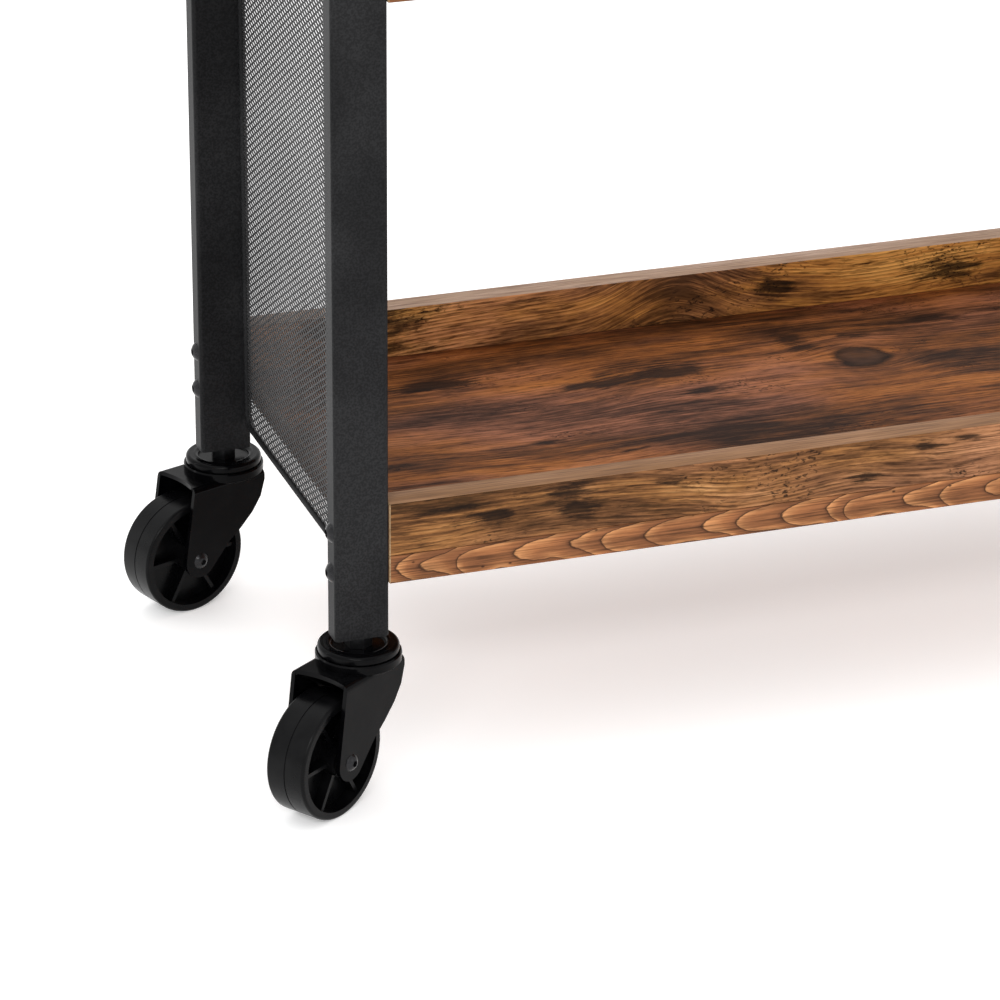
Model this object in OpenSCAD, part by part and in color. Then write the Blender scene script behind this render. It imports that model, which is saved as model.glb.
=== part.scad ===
// Three-tier bar cart on swivel casters. Millimetres, +Z up, +X along the
// shelves, -Y the front. The origin is on the floor under the cart's middle.

/* [Cart] */
// Overall length of the frame, over both end frames
cart_l = 660; // [560:10:900]
// Depth of the frame, front faces to rear faces
cart_d = 280; // [240:5:420]
// Height of the frame's top above the floor
cart_h = 870; // [850:5:950]
// Spacing of the shelves, underside to underside
tier_pitch = 320; // [280:5:330]
// Height of the bottom shelf's underside above the leg ends
shelf_lift = 30; // [26:1:60]

/* [Frame tube] */
// Width of the rectangular tube along X
tube_w = 30; // [28:1:40]
// Depth of the rectangular tube along Y
tube_d = 15; // [15:1:25]
// Wall of the tube
tube_wall = 1.2; // [1:0.1:2]
// Outer corner radius of the tube
tube_r = 2.4; // [2:0.1:3]

/* [Shelves] */
// Thickness of a shelf board
board_t = 16; // [15:1:18]
// Thickness of a shelf rail
rail_t = 16; // [15:1:18]
// Height of a shelf rail above its board
rail_h = 30; // [25:1:40]
// Depth of the rebates that the rails stand in
rebate = 0.5; // [0.5:0.1:1]
// Edge rounding of the boards and rails
edge_r = 0.8; // [0.5:0.1:1.5]

/* [Mesh panels] */
// Diameter of the bent rod round each mesh panel
rod_d = 4; // [3:0.5:5]
// Bend radius of the rod at the panel's corners
rod_bend = 8; // [6:1:12]
// Thickness of the mesh sheet
sheet_t = 1; // [0.8:0.1:1.5]
// Height of the panel's lower rod above the leg ends
panel_lift = 15.5; // [12:0.5:20]

/* [Casters] */
// Height of a caster, floor to leg end
caster_h = 93; // [93:1:100]
// Wheel diameter
wheel_d = 68; // [60:1:70]
// Wheel width
wheel_w = 25; // [22:1:26]
// Distance from the swivel axis back to the wheel's axle
trail = 30.5; // [26:0.5:32]
// Outer width of the fork
fork_w = 37.5; // [35:0.5:38]
// Sheet thickness of the fork
fork_t = 2.5; // [2:0.25:3]
// Diameter of the axle bolt
axle_d = 6; // [5:1:8]

/* [Fasteners] */
// Diameter of the frame bolts
bolt_d = 6; // [5:1:6]
// Length of a frame bolt under its head
bolt_l = 46; // [42:1:50]
// Outer diameter of a threaded insert
insert_d = 10; // [9:0.5:11]
// Diameter of the wooden dowels
dowel_d = 8; // [6:1:8]

/* [Hidden] */
$fn = 48;
CASTERS = ["front_left", "rear_left", "front_right", "rear_right"];

steel_black = "#2b2b2c";
caster_black = "#17171a";
wood_brown = "#8a5a33";
zinc = "#b9b7ae";

// Frame
leg_x = (cart_l - tube_w) / 2;          // leg centre, from the middle
leg_y = (cart_d - tube_d) / 2;
board_l = cart_l - 2 * tube_w;          // boards fit between the legs
tier_z = [for (k = [0:2]) caster_h + shelf_lift + k * tier_pitch];
fit_gap = 0.05;                         // radial gap of pieces that slip together
move_gap = 0.35;                        // gap between pieces that pass each other
leg_hole_r = bolt_d / 2 + 0.15;
rebate_w = rail_t + 0.3;                // leaves the board's flat top free of the rail

// Mesh panels
panel_x = leg_x + tube_w / 2 - tube_w + rod_d / 2 + 0.3;   // rod centre, flush inside
panel_y = cart_d / 2 - tube_d - rod_d / 2 - 0.4;           // side rods, clear of the legs
panel_z0 = caster_h + panel_lift;
panel_z1 = tier_z[2] + board_t + rail_h + 3;
weld_l = 14;

// Fasteners
insert_l = 14;
insert_bore_l = 20;
dowel_l = 28;
dowel_in_board = 10;
dowel_x = [-board_l / 3, 0, board_l / 3];
head_r = 5.4;
head_h = 2.6;

// Casters
wheel_r = wheel_d / 2;
fork_top = caster_h - 13;
fork_in = fork_w / 2 - fork_t;          // inner face of a side plate, from the middle
fork_front = 33.5;                        // trailing edge of the top plate
fork_back = -16;
fork_boss_r = 10.3;                     // round end at the axle
race_r = 23.3;                          // fork's formed race
cap_r = 22;                             // race cap over it
kingpin_r = 5;
ball_d = 4;
ball_ring_r = 16.5;
cap_z = fork_top + ball_d + move_gap;   // underside of the race cap
stem_r = 4;
plug_h = 18;
plug_recess = 3;
hub_r = 9.5;
rim_r = 29.5;                           // inside of the rim
recess = 9;                             // depth of the wheel's side recess
bush_r = 6;
bush_l = 2 * fork_in - 0.6;
nut_af = 9;                             // across the flats of the axle's nut
axle_head_r = 4.8;
axle_head_h = 2.4;
spokes = 6;

// Brake
pin_x = 24.5;
pin_z = fork_top - fork_t - 4.8;
pin_r = 2;
pedal_reach = 35.5;                     // pin to the pedal's tip
pedal_w = 22;
pedal_eye_r = 3.4;

// Each caster: leg position, direction its wheel trails in, and whether it brakes
function leg_at(c) =
    c == "front_left" ? [-leg_x, -leg_y] :
    c == "rear_left" ? [-leg_x, leg_y] :
    c == "front_right" ? [leg_x, -leg_y] : [leg_x, leg_y];
function trail_dir(c) =
    c == "front_left" ? 215 : c == "rear_left" ? 200 :
    c == "front_right" ? 20 : 35;
function has_brake(c) = c == "front_right" || c == "rear_right";

// Point where a line from p touches the circle at c with radius r
function tangent(p, c, r, side) =
    let (v = p - c, turn = atan2(v.y, v.x) + side * acos(r / norm(v)))
    c + r * [cos(turn), sin(turn)];

module rounded_rect(size, r) {
    translate([-size.x / 2, -size.y / 2]) {
        translate([r, 0]) square([size.x - 2 * r, size.y]);
        translate([0, r]) square([size.x, size.y - 2 * r]);
        for (x = [r, size.x - r], y = [r, size.y - r])
            translate([x, y]) circle(r);
    }
}

module tube_profile() {
    difference() {
        rounded_rect([tube_w, tube_d], tube_r);
        rounded_rect([tube_w - 2 * tube_wall, tube_d - 2 * tube_wall], tube_r - tube_wall);
    }
}

module along_x() { rotate([90, 0, 90]) children(); }

module at_caster(c) {
    translate([leg_at(c).x, leg_at(c).y, 0]) rotate(trail_dir(c)) children();
}

// Heights of the bolts through a leg: one into each board, one into each rail
function bolt_heights() = [for (z = tier_z) each [z + board_t / 2, z + board_t + rail_h / 2]];

// ---- frame ----------------------------------------------------------------

module leg(sx, sy) {
    color(steel_black)
    translate([sx * leg_x, sy * leg_y, 0])
    difference() {
        translate([0, 0, caster_h]) linear_extrude(cart_h - caster_h) tube_profile();
        // mitre under the handle tube
        translate([0, -sy * tube_d / 2, cart_h - tube_d])
            rotate([sy * 45, 0, 0])
                translate([-tube_w, -tube_w * 1.5, 0]) cube([2 * tube_w, 3 * tube_w, 2 * tube_w]);
        for (z = bolt_heights())
            translate([-tube_w, 0, z]) rotate([0, 90, 0]) cylinder(r = leg_hole_r, h = 2 * tube_w);
    }
}

module handle(sx) {
    color(steel_black)
    difference() {
        translate([sx * leg_x, cart_d / 2, cart_h - tube_d / 2])
            rotate([90, 0, 0]) linear_extrude(cart_d) tube_profile();
        for (sy = [-1, 1])
            translate([sx * leg_x, sy * (cart_d / 2 - tube_d), cart_h - tube_d])
                rotate([sy * 45, 0, 0])
                    translate([-tube_w, -tube_w * 1.5, -2 * tube_w])
                        cube([2 * tube_w, 3 * tube_w, 2 * tube_w]);
    }
}

module rod(length) { cylinder(d = rod_d, h = length); }

module mesh_frame(sx) {
    w = panel_y - rod_bend;
    zlo = panel_z0 + rod_bend;
    zhi = panel_z1 - rod_bend;
    color(steel_black)
    translate([sx * panel_x, 0, 0]) {
        for (sy = [-1, 1]) {
            translate([0, sy * panel_y, zlo]) rod(zhi - zlo);
            for (z = [panel_z0 + rod_bend * 3, tier_z[1] - 20, tier_z[2] - 20,
                      panel_z1 - rod_bend * 3])
                translate([-1, sy * (panel_y + 1.2) - (sy < 0 ? 1.2 : 0), z])
                    cube([2, 1.2, weld_l]);
        }
        for (z = [panel_z0, panel_z1])
            translate([0, w, z]) rotate([90, 0, 0]) rod(2 * w);
        for (a = [0:90:270])
            translate([0, (a == 0 || a == 270 ? 1 : -1) * w, a < 180 ? zhi : zlo])
                rotate([90, 0, 90]) rotate(a)
                    rotate_extrude(angle = 90) translate([rod_bend, 0]) circle(d = rod_d);
    }
}

module mesh_sheet(sx) {
    inset = rod_d / 2;
    color(steel_black)
    translate([sx * panel_x, 0, (panel_z0 + panel_z1) / 2])
        along_x() translate([0, 0, -sheet_t / 2]) linear_extrude(sheet_t)
            rounded_rect([2 * (panel_y - inset), panel_z1 - panel_z0 - 2 * inset],
                         rod_bend - inset);
}

// ---- shelves --------------------------------------------------------------

module insert_holes(z) {
    for (sx = [-1, 1], sy = [-1, 1])
        translate([sx * board_l / 2, sy * leg_y, z]) rotate([0, -sx * 90, 0])
            cylinder(r = insert_d / 2 + fit_gap, h = insert_bore_l);
}

module dowel_holes(z, depth) {
    for (x = dowel_x, sy = [-1, 1])
        translate([x, sy * (cart_d - rail_t) / 2, z]) cylinder(r = dowel_d / 2 + fit_gap, h = depth);
}

module shelf(k) {
    color(wood_brown)
    difference() {
        translate([-board_l / 2, 0, tier_z[k] + board_t / 2])
            along_x() linear_extrude(board_l) rounded_rect([cart_d, board_t], edge_r);
        for (sy = [-1, 1])
            translate([-board_l, sy * cart_d / 2 - rebate_w, tier_z[k] + board_t - rebate])
                cube([2 * board_l, 2 * rebate_w, 2 * rebate]);
        insert_holes(tier_z[k] + board_t / 2);
        dowel_holes(tier_z[k] + board_t - dowel_in_board - 0.5, board_t);
    }
}

module rail(k, sy) {
    z0 = tier_z[k] + board_t;
    color(wood_brown)
    difference() {
        translate([-board_l / 2, sy * (cart_d - rail_t) / 2, z0 + (rail_h - rebate) / 2])
            along_x() linear_extrude(board_l) rounded_rect([rail_t, rail_h + rebate], edge_r);
        insert_holes(z0 + rail_h / 2);
        dowel_holes(z0 - 1, dowel_l - dowel_in_board + 1.5);
    }
}

module rail_dowels() {
    color("tan")
    for (z = tier_z, x = dowel_x, sy = [-1, 1])
        translate([x, sy * (cart_d - rail_t) / 2, z + board_t - dowel_in_board])
            cylinder(d = dowel_d, h = dowel_l);
}

// ---- fasteners ------------------------------------------------------------

// Bolt with a low domed head, which has a hexagon socket: the shank starts at z = 0
module button_bolt(shank_d, shank_l, r, h) {
    dome = 1.2 * r;
    difference() {
        union() {
            cylinder(d = shank_d, h = shank_l);
            rotate_extrude() intersection() {
                translate([0, sqrt(dome * dome - r * r)]) circle(r = dome, $fn = 64);
                translate([0, -h]) square([r, h]);
            }
        }
        translate([0, 0, -h - 1]) cylinder(d = 0.82 * r, h = 1 + 0.7 * h, $fn = 6);
    }
}

module frame_bolts() {
    color(steel_black)
    for (sx = [-1, 1], sy = [-1, 1], z = bolt_heights())
        translate([sx * cart_l / 2, sy * leg_y, z]) rotate([0, -sx * 90, 0])
            button_bolt(bolt_d, bolt_l, head_r, head_h);
}

module thread_inserts() {
    color(zinc)
    for (sx = [-1, 1], sy = [-1, 1], z = bolt_heights())
        translate([sx * board_l / 2, sy * leg_y, z]) rotate([0, -sx * 90, 0])
            difference() {
                cylinder(d = insert_d, h = insert_l);
                translate([0, 0, -1]) cylinder(d = bolt_d + 2 * fit_gap, h = insert_l + 2);
            }
}

module leg_plugs() {
    inner = [tube_w - 2 * tube_wall - 2 * fit_gap, tube_d - 2 * tube_wall - 2 * fit_gap];
    color(zinc)
    for (c = CASTERS)
        translate([leg_at(c).x, leg_at(c).y, caster_h + plug_recess])
            difference() {
                linear_extrude(plug_h) rounded_rect(inner, tube_r - tube_wall);
                translate([0, 0, -1]) cylinder(r = stem_r + fit_gap, h = plug_h + 2);
            }
}

// ---- casters --------------------------------------------------------------

module stem(c) {
    rivet_z = fork_top - fork_t - move_gap;      // top of the rivet head under the fork
    color(zinc)
    at_caster(c) {
        translate([0, 0, caster_h]) cylinder(r = stem_r, h = plug_h);
        translate([0, 0, cap_z + 2.5]) cylinder(d = 13 / cos(30), h = caster_h - cap_z - 2.5, $fn = 6);
        translate([0, 0, rivet_z - 1]) cylinder(r = kingpin_r, h = cap_z + 3.5 - rivet_z);
        translate([0, 0, rivet_z - 2.5]) cylinder(r1 = 6.5, r2 = 8, h = 1.5);
        translate([0, 0, rivet_z - 1]) cylinder(r = 8, h = 1);
    }
}

// Pressed cap over the balls: a rolled outer lip and a ring-shaped crown
module race_cap(c) {
    crown_r = 2.4;
    crown_mid = 16.6;
    lip_r = 2.2;
    lip_wall = 1.5;
    color(caster_black)
    at_caster(c) translate([0, 0, cap_z])
        rotate_extrude() difference() {
            union() {
                translate([kingpin_r + fit_gap, 0]) square([crown_mid - kingpin_r, 2.4]);
                translate([crown_mid, 0]) square([cap_r - crown_mid - lip_wall, lip_r + 1.2]);
                translate([cap_r - lip_wall, 0]) square([lip_wall, lip_r + 0.1]);
                translate([cap_r - lip_r, lip_r + 0.1]) circle(lip_r);
                translate([crown_mid, crown_r - 0.2]) circle(crown_r);
                translate([crown_mid, lip_r]) square([cap_r - lip_r - crown_mid, lip_r]);
            }
            translate([0, -8]) square([30, 8]);
        }
}

module ball_ring(c) {
    mid_z = fork_top + ball_d / 2;
    color(zinc)
    at_caster(c) {
        for (a = [0:30:330])
            rotate(a) translate([ball_ring_r, 0, mid_z]) sphere(d = ball_d);
        translate([0, 0, mid_z - 0.5]) difference() {
            cylinder(r = ball_ring_r + 1.5, h = 1);
            translate([0, 0, -1]) cylinder(r = ball_ring_r - 1.5, h = 3);
        }
    }
}

// Side view of the fork in (x, z), without its round end at the axle: the back
// edge bulges below the race and runs straight down to the axle
module fork_side() {
    axle = [trail, wheel_r];
    low_back = [10, 41];
    polygon([[fork_back, fork_top], [fork_front, fork_top],
             tangent([fork_front, fork_top], axle, fork_boss_r, -1),
             axle,
             tangent(low_back, axle, fork_boss_r, 1),
             low_back, [1.5, 47.5], [-7, 55.5], [-13, 64], [fork_back, fork_top - 6]]);
}

// Side view of the web that closes the fork behind the wheel, along its back edge
module fork_web() {
    polygon([[fork_back, fork_top - 1], [fork_back, fork_top - 6], [-13, 64], [-7, 55.5], [-3, 52],
             [-1.2, 53.7], [-5, 57.3], [-10.8, 65], [fork_back + fork_t, fork_top - 5.6],
             [fork_back + fork_t, fork_top - 1]]);
}

// Channel section of the fork in (y, z)
module fork_channel() {
    bend = 3.5;
    difference() {
        translate([0, fork_top / 2]) rounded_rect([fork_w, fork_top], bend);
        translate([0, fork_top / 2 - fork_t - 20])
            rounded_rect([2 * fork_in, fork_top + 40], bend - fork_t);
    }
}

// Formed race: a dish pressed up out of the top plate round the balls
module fork_race() {
    wall = 2.2;
    rim_h = ball_d - 0.1;
    chamfer = 1.6;
    rotate_extrude()
        polygon([[12, -fork_t], [race_r - chamfer, -fork_t], [race_r, chamfer - fork_t],
                 [race_r, rim_h - 0.8], [race_r - 0.6, rim_h], [race_r - 1.6, rim_h],
                 [race_r - wall, rim_h - 0.8], [race_r - wall, 0], [12, 0]]);
}

module fork(c) {
    front_sag = 2.6;
    front_arc = (fork_in * fork_in + front_sag * front_sag) / (2 * front_sag);
    color(caster_black)
    at_caster(c)
    difference() {
        union() {
            intersection() {
                translate([-60, 0, 0]) along_x() linear_extrude(120) fork_channel();
                translate([0, 60, 0]) rotate([90, 0, 0]) linear_extrude(120) fork_side();
            }
            for (y = [-fork_in, fork_w / 2])
                translate([trail, y, wheel_r]) rotate([90, 0, 0]) cylinder(r = fork_boss_r, h = fork_t);
            translate([0, fork_in + 0.5, 0]) rotate([90, 0, 0]) linear_extrude(2 * fork_in + 1) fork_web();
            translate([0, 0, fork_top]) fork_race();
        }
        // concave trailing edge
        translate([fork_front - front_sag + front_arc, 0, fork_top - fork_t - 2])
            intersection() {
                cylinder(r = front_arc, h = 10, $fn = 96);
                translate([-front_arc - 1, -fork_in, 0]) cube([2 * front_arc, 2 * fork_in, 10]);
            }
        translate([0, 0, fork_top - 10]) cylinder(r = kingpin_r + fit_gap, h = 20);
        translate([trail, fork_w, wheel_r]) rotate([90, 0, 0])
            cylinder(d = axle_d + 2 * fit_gap, h = 2 * fork_w);
        if (has_brake(c))
            translate([pin_x, fork_w, pin_z]) rotate([90, 0, 0])
                cylinder(r = pin_r + fit_gap, h = 2 * fork_w);
    }
}

// Half section of the wheel, radius along x and width along y
module wheel_half() {
    lip = 1.8;
    half = wheel_w / 2;
    difference() {
        union() {
            square([wheel_r - lip, half]);
            square([wheel_r, half - lip]);
            translate([wheel_r - lip, half - lip]) circle(lip);
            square([hub_r, half + 1]);
        }
        translate([hub_r, half - recess]) square([rim_r - hub_r, recess + 5]);
        translate([wheel_r - 0.35, -0.01]) square([1, 0.36]);
    }
}

module wheel(c) {
    rib_h = recess - 2.5;
    color(caster_black)
    at_caster(c) translate([trail, 0, wheel_r]) rotate([90, 0, 0])
        difference() {
            union() {
                rotate_extrude($fn = 96) {
                    wheel_half();
                    mirror([0, 1]) wheel_half();
                }
                for (s = [-1, 1], a = [0:360 / spokes:359])
                    rotate(a) translate([hub_r - 1, -1.1, s > 0 ? wheel_w / 2 - recess - 0.5 : -wheel_w / 2 + 2.5])
                        cube([rim_r - hub_r + 2, 2.2, rib_h + 0.5]);
            }
            translate([0, 0, -wheel_w]) cylinder(r = bush_r + fit_gap, h = 2 * wheel_w);
        }
}

module wheel_bush(c) {
    color(zinc)
    at_caster(c) translate([trail, bush_l / 2, wheel_r]) rotate([90, 0, 0])
        difference() {
            cylinder(r = bush_r, h = bush_l);
            translate([0, 0, -1]) cylinder(d = axle_d + 2 * fit_gap, h = bush_l + 2);
        }
}

// Button head on one side plate, shank through both
module axle_bolt(c) {
    color(caster_black)
    at_caster(c) translate([trail, fork_w / 2, wheel_r]) rotate([90, 0, 0])
        button_bolt(axle_d, fork_w + 6.5, axle_head_r, axle_head_h);
}

module axle_nut(c) {
    color(caster_black)
    at_caster(c) translate([trail, -fork_w / 2, wheel_r]) rotate([90, 0, 0])
        difference() {
            union() {
                cylinder(d = nut_af / cos(30), h = 4.2, $fn = 6);
                cylinder(d = nut_af - 1, h = 5.4);
            }
            translate([0, 0, -1]) cylinder(d = axle_d + 2 * fit_gap, h = 8);
        }
}

// ---- brakes ---------------------------------------------------------------

// Side view of the pedal's arm in (x, z), measured from the pin: the tread turns up
module pedal_arm() {
    polygon([[0, -3], [0, 2.9], [9, 2.4], [17, 4.4], [pedal_reach - 1.5, 8.5], [pedal_reach, 7.4],
             [pedal_reach - 1, 5.6], [18, -0.5], [15, -1.9], [9, -2.4]]);
}

module brake_pedal(c) {
    color("#8c1d18")
    at_caster(c) translate([pin_x, pedal_w / 2, pin_z]) rotate([90, 0, 0])
        difference() {
            union() {
                linear_extrude(pedal_w) pedal_arm();
                cylinder(r = pedal_eye_r, h = pedal_w);
            }
            translate([0, 0, -1]) cylinder(r = pin_r + fit_gap, h = pedal_w + 2);
        }
}

module brake_pin(c) {
    color(zinc)
    at_caster(c) translate([pin_x, fork_w / 2 + 1.2, pin_z]) rotate([90, 0, 0]) {
        cylinder(r = pin_r, h = fork_w + 2.4);
        for (z = [0, fork_w + 1.2]) translate([0, 0, z]) cylinder(r = pin_r + 1.4, h = 1.2);
    }
}

// ---- assembly -------------------------------------------------------------

leg(-1, -1);  // leg_front_left
leg(-1, 1);  // leg_rear_left
leg(1, -1);  // leg_front_right
leg(1, 1);  // leg_rear_right
handle(-1);  // handle_left
handle(1);  // handle_right
mesh_frame(-1);  // mesh_frame_left
mesh_frame(1);  // mesh_frame_right
mesh_sheet(-1);  // mesh_sheet_left
mesh_sheet(1);  // mesh_sheet_right
shelf(0);  // shelf_bottom
shelf(1);  // shelf_middle
shelf(2);  // shelf_top
rail(0, -1);  // rail_bottom_front
rail(0, 1);  // rail_bottom_rear
rail(1, -1);  // rail_middle_front
rail(1, 1);  // rail_middle_rear
rail(2, -1);  // rail_top_front
rail(2, 1);  // rail_top_rear
rail_dowels();
frame_bolts();
thread_inserts();
leg_plugs();
for (c = CASTERS) {
    stem(c);
    race_cap(c);
    ball_ring(c);
    fork(c);
    wheel(c);
    wheel_bush(c);
    axle_bolt(c);
    axle_nut(c);
    if (has_brake(c)) {
        brake_pedal(c);
        brake_pin(c);
    }
}
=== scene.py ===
"""Looks of a three-tier bar cart on swivel casters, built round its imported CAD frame.

Lengths are in metres unless a name ends in _mm. +X runs along the shelves, -Y is
the front and +Z is up, as in the frame.
"""

import logging
import math
from dataclasses import dataclass, field, replace
from enum import Enum

import bpy
from mathutils import Matrix, Vector


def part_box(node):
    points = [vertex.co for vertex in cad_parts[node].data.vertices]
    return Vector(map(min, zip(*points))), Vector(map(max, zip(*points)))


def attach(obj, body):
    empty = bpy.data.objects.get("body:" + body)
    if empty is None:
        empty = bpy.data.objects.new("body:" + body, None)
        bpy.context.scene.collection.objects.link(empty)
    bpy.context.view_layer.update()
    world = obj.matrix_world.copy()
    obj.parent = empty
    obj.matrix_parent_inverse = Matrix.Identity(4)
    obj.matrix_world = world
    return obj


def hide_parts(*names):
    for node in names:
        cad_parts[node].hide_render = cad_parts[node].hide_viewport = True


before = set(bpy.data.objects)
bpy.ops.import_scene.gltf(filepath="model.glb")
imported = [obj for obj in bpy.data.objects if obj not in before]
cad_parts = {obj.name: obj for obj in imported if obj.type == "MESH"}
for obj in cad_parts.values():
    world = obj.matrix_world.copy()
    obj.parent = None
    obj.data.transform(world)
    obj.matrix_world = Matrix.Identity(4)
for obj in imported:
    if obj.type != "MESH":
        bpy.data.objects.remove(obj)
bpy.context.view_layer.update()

MM = 0.001
CORNERS = ("front_left", "rear_left", "front_right", "rear_right")
TIERS = ("bottom", "middle", "top")
LOG = logging.getLogger("bar_cart")


# ---- colours and nodes ------------------------------------------------------

def linear(hex_colour: str) -> tuple[float, float, float, float]:
    """Turns an sRGB hex colour into Blender's linear colour.

    Args:
        hex_colour: Six hex digits after a hash, such as "#2b2b2c".

    Returns:
        Linear red, green and blue, and an alpha of 1.
    """
    shares = [int(hex_colour[i:i + 2], 16) / 255 for i in (1, 3, 5)]
    return (*(s / 12.92 if s <= 0.04045 else ((s + 0.055) / 1.055) ** 2.4 for s in shares), 1.0)


class Shader:
    """A material while it is made: its node tree, its surface shader and its coordinates."""

    def __init__(self, name: str) -> None:
        """Starts a material.

        Args:
            name: The material's name.
        """
        self.material = bpy.data.materials.new(name)
        self.material.use_nodes = True
        self.tree = self.material.node_tree
        self.surface = self.tree.nodes["Principled BSDF"]
        self.place = self.add("TexCoord").outputs["Object"]

    def feed(self, socket: bpy.types.NodeSocket, value: object) -> None:
        """Links a node or an output to a socket, or sets the socket's own value.

        Args:
            socket: The input.
            value: A node, an output, a hex colour, or a number or vector.
        """
        if isinstance(value, bpy.types.Node):
            value = next(out for out in value.outputs if out.enabled)
        if isinstance(value, bpy.types.NodeSocket):
            self.tree.links.new(value, socket)
        else:
            socket.default_value = linear(value) if isinstance(value, str) else value

    def add(self, kind: str, inputs: dict | None = None, stops: tuple = (), **settings: object,
            ) -> bpy.types.Node:
        """Adds one node with its settings and links.

        Args:
            kind: The node's type, without its first word.
            inputs: Input name or number to what feeds it.
            stops: A colour ramp's stops, each a position and a hex colour or a grey.
            **settings: The node's settings.

        Returns:
            The node.
        """
        node = self.tree.nodes.new(f"ShaderNode{kind}")
        for key, value in settings.items():
            setattr(node, key, value)
        for key, value in (inputs or {}).items():
            self.feed(node.inputs[key], value)
        for number, (position, shade) in enumerate(stops):
            elements = node.color_ramp.elements
            element = elements[number] if number < 2 else elements.new(position)
            element.position = position
            element.color = linear(shade) if isinstance(shade, str) else (shade, shade, shade, 1)
        return node

    def dress(self, **sockets: object) -> bpy.types.Material:
        """Feeds the surface shader; an underscore in a name stands for a space.

        Args:
            **sockets: Input name to what feeds it.

        Returns:
            The finished material.
        """
        for key, value in sockets.items():
            self.feed(self.surface.inputs[key.replace("_", " ")], value)
        return self.material


# ---- finishes on metal and plastic ------------------------------------------

@dataclass(frozen=True)
class PowderCoat:
    """Polyester powder, sprayed and baked on steel: black, finely grained and half matt."""

    name: str = "black_powder_coat"
    colour: str = "#1a1a1b"
    worn: str = "#232324"
    gleam: float = 0.06            # a matted coat mirrors less than clear resin does
    roughness: float = 0.42
    grain_mm: float = 1.1          # real grains are about 0.3 mm, drawn coarser so that they show
    relief_mm: float = 0.06
    clouds_per_m: float = 14.0
    rough_swing: float = 0.3       # how much the roughness changes from grain to grain

    def build(self) -> bpy.types.Material:
        """Makes the material: grains catch the light as tiny sparks over a cloudy black.

        Returns:
            The material.
        """
        shade = Shader(self.name)
        grain = shade.add("TexNoise", {"Vector": shade.place, "Scale": 1 / (self.grain_mm * MM),
                                       "Detail": 2.0})
        cloud = shade.add("TexNoise", {"Vector": shade.place, "Scale": self.clouds_per_m, "Detail": 5.0})
        patch = shade.add("ValToRGB", {0: cloud}, ((0.42, 0.0), (0.62, 1.0)))
        tint = shade.add("Mix", {0: patch, 6: self.colour, 7: self.worn}, data_type="RGBA")
        speck = shade.add("ValToRGB", {0: grain}, ((0.4, 0.75), (0.62, 1.3)))
        body = shade.add("Mix", {0: 1.0, 6: tint, 7: speck}, data_type="RGBA", blend_type="MULTIPLY")
        rough = shade.add("Math", {0: grain, 1: self.rough_swing, 2: self.roughness - self.rough_swing / 2},
                          operation="MULTIPLY_ADD")
        bump = shade.add("Bump", {"Height": grain, "Distance": self.relief_mm * MM, "Strength": 0.8})
        return shade.dress(Base_Color=body, Roughness=rough, Normal=bump, IOR=1.5,
                           Specular_IOR_Level=self.gleam)


@dataclass(frozen=True)
class GlossBlack:
    """A smooth black skin, dipped or moulded, with a slight waviness and faint handling marks."""

    name: str
    colour: str
    smear: str
    gleam: float
    roughness: float
    wave_mm: float = 6.0
    wave_depth_mm: float = 0.05
    smears_per_m: float = 70.0
    rough_swing: float = 0.3

    def build(self) -> bpy.types.Material:
        """Makes the material: streaky highlights that wander a little along the edges.

        Returns:
            The material.
        """
        shade = Shader(self.name)
        wave = shade.add("TexNoise", {"Vector": shade.place, "Scale": 1 / (self.wave_mm * MM), "Detail": 1.0})
        smear = shade.add("TexNoise", {"Vector": shade.place, "Scale": self.smears_per_m, "Detail": 5.0,
                                       "Roughness": 0.6})
        share = shade.add("ValToRGB", {0: smear}, ((0.45, 0.0), (0.68, 1.0)))
        body = shade.add("Mix", {0: share, 6: self.colour, 7: self.smear}, data_type="RGBA")
        rough = shade.add("Math", {0: smear, 1: self.rough_swing, 2: self.roughness - self.rough_swing / 2},
                          operation="MULTIPLY_ADD")
        bump = shade.add("Bump", {"Height": wave, "Distance": self.wave_depth_mm * MM, "Strength": 1.0})
        return shade.dress(Base_Color=body, Roughness=rough, Normal=bump, IOR=1.52,
                           Specular_IOR_Level=self.gleam)


@dataclass(frozen=True)
class BareMetal:
    """Plated or oiled steel: a cloudy metal sheen over turned or pressed surfaces."""

    name: str
    colour: str
    cloud: str
    metallic: float
    roughness: float
    clouds_per_m: float = 380.0
    relief_mm: float = 0.02
    rough_swing: float = 0.24

    def build(self) -> bpy.types.Material:
        """Makes the material.

        Returns:
            The material.
        """
        shade = Shader(self.name)
        cloud = shade.add("TexNoise", {"Vector": shade.place, "Scale": self.clouds_per_m, "Detail": 4.0})
        body = shade.add("Mix", {0: cloud, 6: self.colour, 7: self.cloud}, data_type="RGBA")
        rough = shade.add("Math", {0: cloud, 1: self.rough_swing, 2: self.roughness - self.rough_swing / 2},
                          operation="MULTIPLY_ADD")
        bump = shade.add("Bump", {"Height": cloud, "Distance": self.relief_mm * MM, "Strength": 1.0})
        return shade.dress(Base_Color=body, Roughness=rough, Normal=bump, Metallic=self.metallic)


# ---- printed wood -----------------------------------------------------------

class Lie(Enum):
    """The axis that runs across the grain on a board's face."""

    FLAT = "Y"       # the face looks up or down
    UPRIGHT = "Z"    # the face looks to the front or the back


@dataclass(frozen=True)
class Mark:
    """A knot or stain in a print, in millimetres from the board's left end and its lower edge."""

    along_mm: float
    across_mm: float
    half_l_mm: float
    half_w_mm: float


@dataclass(frozen=True)
class Palette:
    """The inks of a wood print, from the darkest grain to the palest."""

    dark: str = "#321d11"
    brown: str = "#643d22"
    middle: str = "#94592d"
    pale: str = "#c27a3d"
    violet: str = "#684437"
    line: str = "#1d100a"
    stain: str = "#120b08"


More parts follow.
